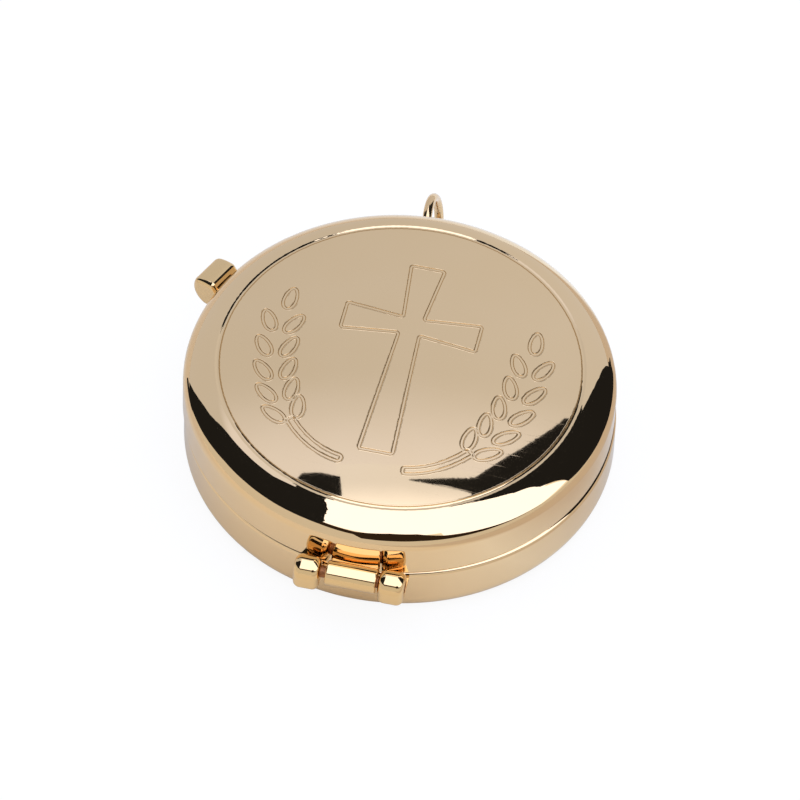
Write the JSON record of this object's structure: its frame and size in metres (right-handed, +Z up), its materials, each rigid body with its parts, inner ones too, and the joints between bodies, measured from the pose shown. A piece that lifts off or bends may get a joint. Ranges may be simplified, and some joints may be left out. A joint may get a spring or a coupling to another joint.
{
  "type": "pyx",
  "caption": "Round flat hinged box of polished gold-plated brass for carrying communion hosts, with a thumb lift and a hanging ring.",
  "frame": {"origin": "centre of the flat underside, on the table", "axes": "+Z up through the lid, -Y towards the hinge, +X along the hinge pin"},
  "size_m": [0.0561, 0.067, 0.0156],
  "materials": {
    "gold_plate": "mirror polished gold plate",
    "gold_fitting": "polished gold plate",
    "gold_wire": "polished gold-plated wire"
  },
  "bodies": {
    "base": {"base_dish": "gold_plate", "base_collar": "gold_plate", "hinge_knuckle_left": "gold_fitting", "hinge_knuckle_right": "gold_fitting", "hinge_pin": "gold_wire", "ring_eye": "gold_wire"},
    "lid": {"lid_shell": "gold_plate", "lid_hinge_knuckle": "gold_fitting", "thumb_lift": "gold_fitting"},
    "ring": {"hanging_ring": "gold_wire"}
  },
  "joints": [
    {"name": "lid_hinge", "type": "hinge", "parent": "base", "child": "lid", "pos_m": [0, -0.02869, 0.00795], "axis": [1, 0, 0], "range_deg": [0, 175]},
    {"name": "ring_swing", "type": "hinge", "parent": "base", "child": "ring", "pos_m": [-0.00287, 0.02981, 0.00493], "axis": [0.9954, 0.0958, 0], "range_deg": [-40, 60]}
  ]
}
